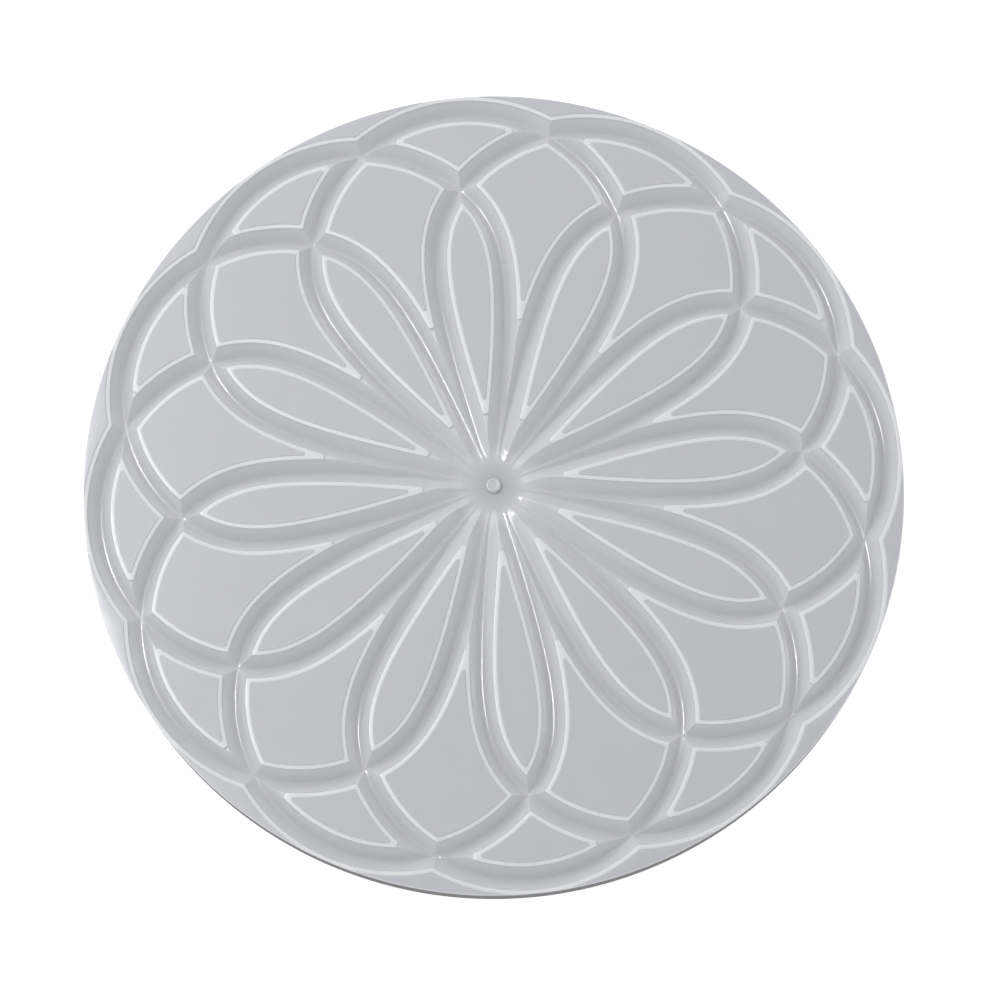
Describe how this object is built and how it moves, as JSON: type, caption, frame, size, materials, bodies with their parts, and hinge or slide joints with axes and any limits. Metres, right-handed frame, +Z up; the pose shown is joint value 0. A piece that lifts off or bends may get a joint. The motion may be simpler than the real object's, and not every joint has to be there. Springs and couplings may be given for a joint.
{
  "type": "resin casting mould",
  "caption": "Round flexible silicone mould with V-shaped grooves between raised panels, for casting an openwork flower lattice in resin.",
  "frame": {"origin": "middle of the flat underside", "axes": "+Z up, out of the grooves; +X along the middle of loop, leaf and fan number 1"},
  "size_m": [0.3, 0.3, 0.012],
  "materials": {
    "silicone": "translucent, glossy"
  },
  "bodies": {
    "root": {"base_sheet": "silicone", "outer_rim": "silicone", "centre_stud": "silicone", "leaf_island_01": "silicone", "leaf_island_02": "silicone", "leaf_island_03": "silicone", "leaf_island_04": "silicone", "leaf_island_05": "silicone", "leaf_island_06": "silicone", "leaf_island_07": "silicone", "leaf_island_08": "silicone", "leaf_island_09": "silicone", "leaf_island_10": "silicone", "leaf_island_11": "silicone", "leaf_island_12": "silicone", "wide_island_01": "silicone", "wide_island_02": "silicone", "wide_island_03": "silicone", "wide_island_04": "silicone", "wide_island_05": "silicone", "wide_island_06": "silicone", "wide_island_07": "silicone", "wide_island_08": "silicone", "wide_island_09": "silicone", "wide_island_10": "silicone", "wide_island_11": "silicone", "wide_island_12": "silicone", "fan_island_01": "silicone", "fan_island_02": "silicone", "fan_island_03": "silicone", "fan_island_04": "silicone", "fan_island_05": "silicone", "fan_island_06": "silicone", "fan_island_07": "silicone", "fan_island_08": "silicone", "fan_island_09": "silicone", "fan_island_10": "silicone", "fan_island_11": "silicone", "fan_island_12": "silicone"}
  },
  "joints": []
}
